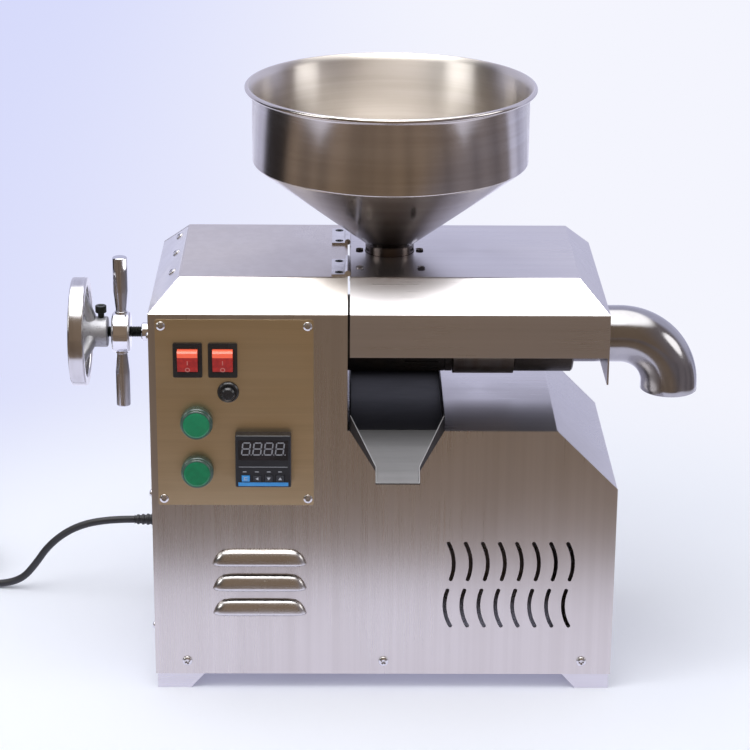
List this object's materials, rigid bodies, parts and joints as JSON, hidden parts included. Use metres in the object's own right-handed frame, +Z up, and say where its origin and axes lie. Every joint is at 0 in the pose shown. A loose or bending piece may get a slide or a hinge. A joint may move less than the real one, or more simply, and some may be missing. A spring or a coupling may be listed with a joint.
{
  "type": "screw oil press",
  "caption": "Bench-top screw oil press: round feed hopper on a hinged lid, heated press barrel, oil chute, cake elbow, control panel and screw adjuster with handwheel.",
  "frame": {"origin": "on the bench under the middle of the machine, measured without the mains cord", "axes": "+X towards the cake elbow along the press axis, +Y from the control panel to the back, +Z up"},
  "size_m": [0.7743, 0.3935, 0.5272],
  "materials": {
    "brushed_cabinet": "vertical brushed stainless sheet",
    "hopper_steel": "spun and polished stainless",
    "polished_steel": "polished stainless",
    "frame_steel": "plain steel plate",
    "gold_plate": "gold anodised, brushed",
    "bright_screws": "bright stainless screws",
    "dark_screws": "blackened screws",
    "black_plastic": "black moulded plastic",
    "controller_plastic": "black controller front",
    "key_rubber": "soft membrane key",
    "red_rocker": "translucent red",
    "lamp_bezel": "dark green bezel",
    "green_lens": "green lamp lens",
    "hinge_steel": "bright hinge steel",
    "dark_barrel": "heat-darkened steel",
    "heater_jacket": "dull stainless heater jacket",
    "tool_steel": "ground tool steel",
    "cast_housing": "grey painted casting",
    "motor_paint": "blue-grey motor paint",
    "black_oxide": "black oxide",
    "cast_aluminium": "cast, polished rim",
    "chrome": "chrome plated",
    "dark_grips": "dark grips",
    "black_rubber": "black cord sheath"
  },
  "bodies": {
    "frame": {"base_frame": "frame_steel", "front_panel": "brushed_cabinet", "rear_panel": "brushed_cabinet", "left_end_plate": "brushed_cabinet", "lower_cover": "brushed_cabinet", "bulkhead": "frame_steel", "control_plate": "gold_plate", "case_screws": "bright_screws", "switch_housings": "black_plastic", "fuse_holder": "black_plastic", "lamp_bezels": "lamp_bezel", "lamp_lenses": "green_lens", "temperature_controller": "controller_plastic", "hinge_fixed_leaves": "hinge_steel", "hinge_pins": "hinge_steel", "hinge_screws": "dark_screws", "press_cage": "dark_barrel", "feed_collar": "dark_barrel", "press_chamber": "dark_barrel", "heater_band": "heater_jacket", "outlet_head": "dark_barrel", "outlet_ring": "tool_steel", "discharge_elbow": "polished_steel", "oil_chute": "polished_steel", "gearbox_case": "cast_housing", "gearbox_cover": "cast_housing", "gearbox_bearings": "tool_steel", "motor_case": "motor_paint", "fan_cowl": "motor_paint", "thrust_plate": "frame_steel", "tie_rods": "tool_steel", "spindle_nut": "tool_steel", "cord_gland": "black_rubber", "cord": "black_rubber", "cord_coil": "black_rubber", "cord_plug": "black_rubber"},
    "lid": {"lid": "brushed_cabinet", "hinge_lid_leaves": "hinge_steel"},
    "hopper": {"hopper": "hopper_steel"},
    "crosshead": {"crosshead": "frame_steel", "thrust_bearing": "tool_steel"},
    "spindle": {"spindle": "black_oxide", "handwheel": "cast_aluminium", "set_bolt": "black_oxide"},
    "lock_nut": {"lock_nut": "chrome", "lock_levers": "dark_grips"},
    "output": {"output_shaft": "tool_steel", "final_gear": "tool_steel"},
    "screw": {"press_screw": "tool_steel"},
    "idler": {"idler_shaft": "tool_steel", "idler_gear": "tool_steel"},
    "rotor": {"motor_rotor": "tool_steel", "motor_fan": "black_plastic"},
    "rocker_left": {"rocker_left": "red_rocker"},
    "rocker_right": {"rocker_right": "red_rocker"},
    "fuse_cap": {"fuse_cap": "black_plastic"},
    "key_set": {"key_set": "key_rubber"},
    "key_shift": {"key_shift": "key_rubber"},
    "key_down": {"key_down": "key_rubber"},
    "key_up": {"key_up": "key_rubber"}
  },
  "joints": [
    {"name": "lid_hinge", "type": "hinge", "parent": "frame", "child": "lid", "pos_m": [-0.03485, 0.0155, 0.3796], "axis": [0, -1, 0], "range_deg": [0, 38]},
    {"name": "hopper_lift", "type": "slide", "parent": "lid", "child": "hopper", "axis": [0, 0, 1], "range_m": [0, 0.08]},
    {"name": "crosshead_slide", "type": "slide", "parent": "frame", "child": "crosshead", "axis": [1, 0, 0], "range_m": [-0.003, 0.003]},
    {"name": "handwheel_turn", "type": "hinge", "parent": "crosshead", "child": "spindle", "pos_m": [-0.24485, 0.0155, 0.3], "axis": [1, 0, 0], "range_deg": [-720, 720]},
    {"name": "lock_nut_turn", "type": "hinge", "parent": "spindle", "child": "lock_nut", "pos_m": [-0.23685, 0.0155, 0.3], "axis": [1, 0, 0], "range_deg": [-360, 360]},
    {"name": "rotor_spin", "type": "hinge", "parent": "frame", "child": "rotor", "pos_m": [0.02515, 0.0155, 0.173], "axis": [1, 0, 0], "continuous": true},
    {"name": "idler_spin", "type": "hinge", "parent": "frame", "child": "idler", "pos_m": [-0.07485, 0.0155, 0.23], "axis": [1, 0, 0], "continuous": true},
    {"name": "output_spin", "type": "hinge", "parent": "frame", "child": "output", "pos_m": [-0.07485, 0.0155, 0.3], "axis": [1, 0, 0], "continuous": true},
    {"name": "screw_slide", "type": "slide", "parent": "output", "child": "screw", "axis": [1, 0, 0], "range_m": [-0.003, 0.003]},
    {"name": "rocker_left_tilt", "type": "hinge", "parent": "frame", "child": "rocker_left", "pos_m": [-0.17135, -0.0935, 0.312], "axis": [-1, 0, 0], "range_deg": [0, 24]},
    {"name": "rocker_right_tilt", "type": "hinge", "parent": "frame", "child": "rocker_right", "pos_m": [-0.14135, -0.0935, 0.312], "axis": [-1, 0, 0], "range_deg": [0, 24]},
    {"name": "fuse_cap_turn", "type": "hinge", "parent": "frame", "child": "fuse_cap", "pos_m": [-0.13705, -0.0935, 0.283], "axis": [0, -1, 0], "range_deg": [0, 90]},
    {"name": "key_set_press", "type": "slide", "parent": "frame", "child": "key_set", "axis": [0, 1, 0], "range_m": [0, 0.0006], "stiffness_N_per_m": 400},
    {"name": "key_shift_press", "type": "slide", "parent": "frame", "child": "key_shift", "axis": [0, 1, 0], "range_m": [0, 0.0006], "stiffness_N_per_m": 400},
    {"name": "key_down_press", "type": "slide", "parent": "frame", "child": "key_down", "axis": [0, 1, 0], "range_m": [0, 0.0006], "stiffness_N_per_m": 400},
    {"name": "key_up_press", "type": "slide", "parent": "frame", "child": "key_up", "axis": [0, 1, 0], "range_m": [0, 0.0006], "stiffness_N_per_m": 400}
  ],
  "couplings": [
    {"joint": "crosshead_slide", "follows": "handwheel_turn", "m_per_rad": 0.00023873},
    {"joint": "screw_slide", "follows": "handwheel_turn", "m_per_rad": 0.00023873},
    {"joint": "idler_spin", "follows": "rotor_spin", "ratio": -0.26667},
    {"joint": "output_spin", "follows": "rotor_spin", "ratio": 0.079012}
  ]
}
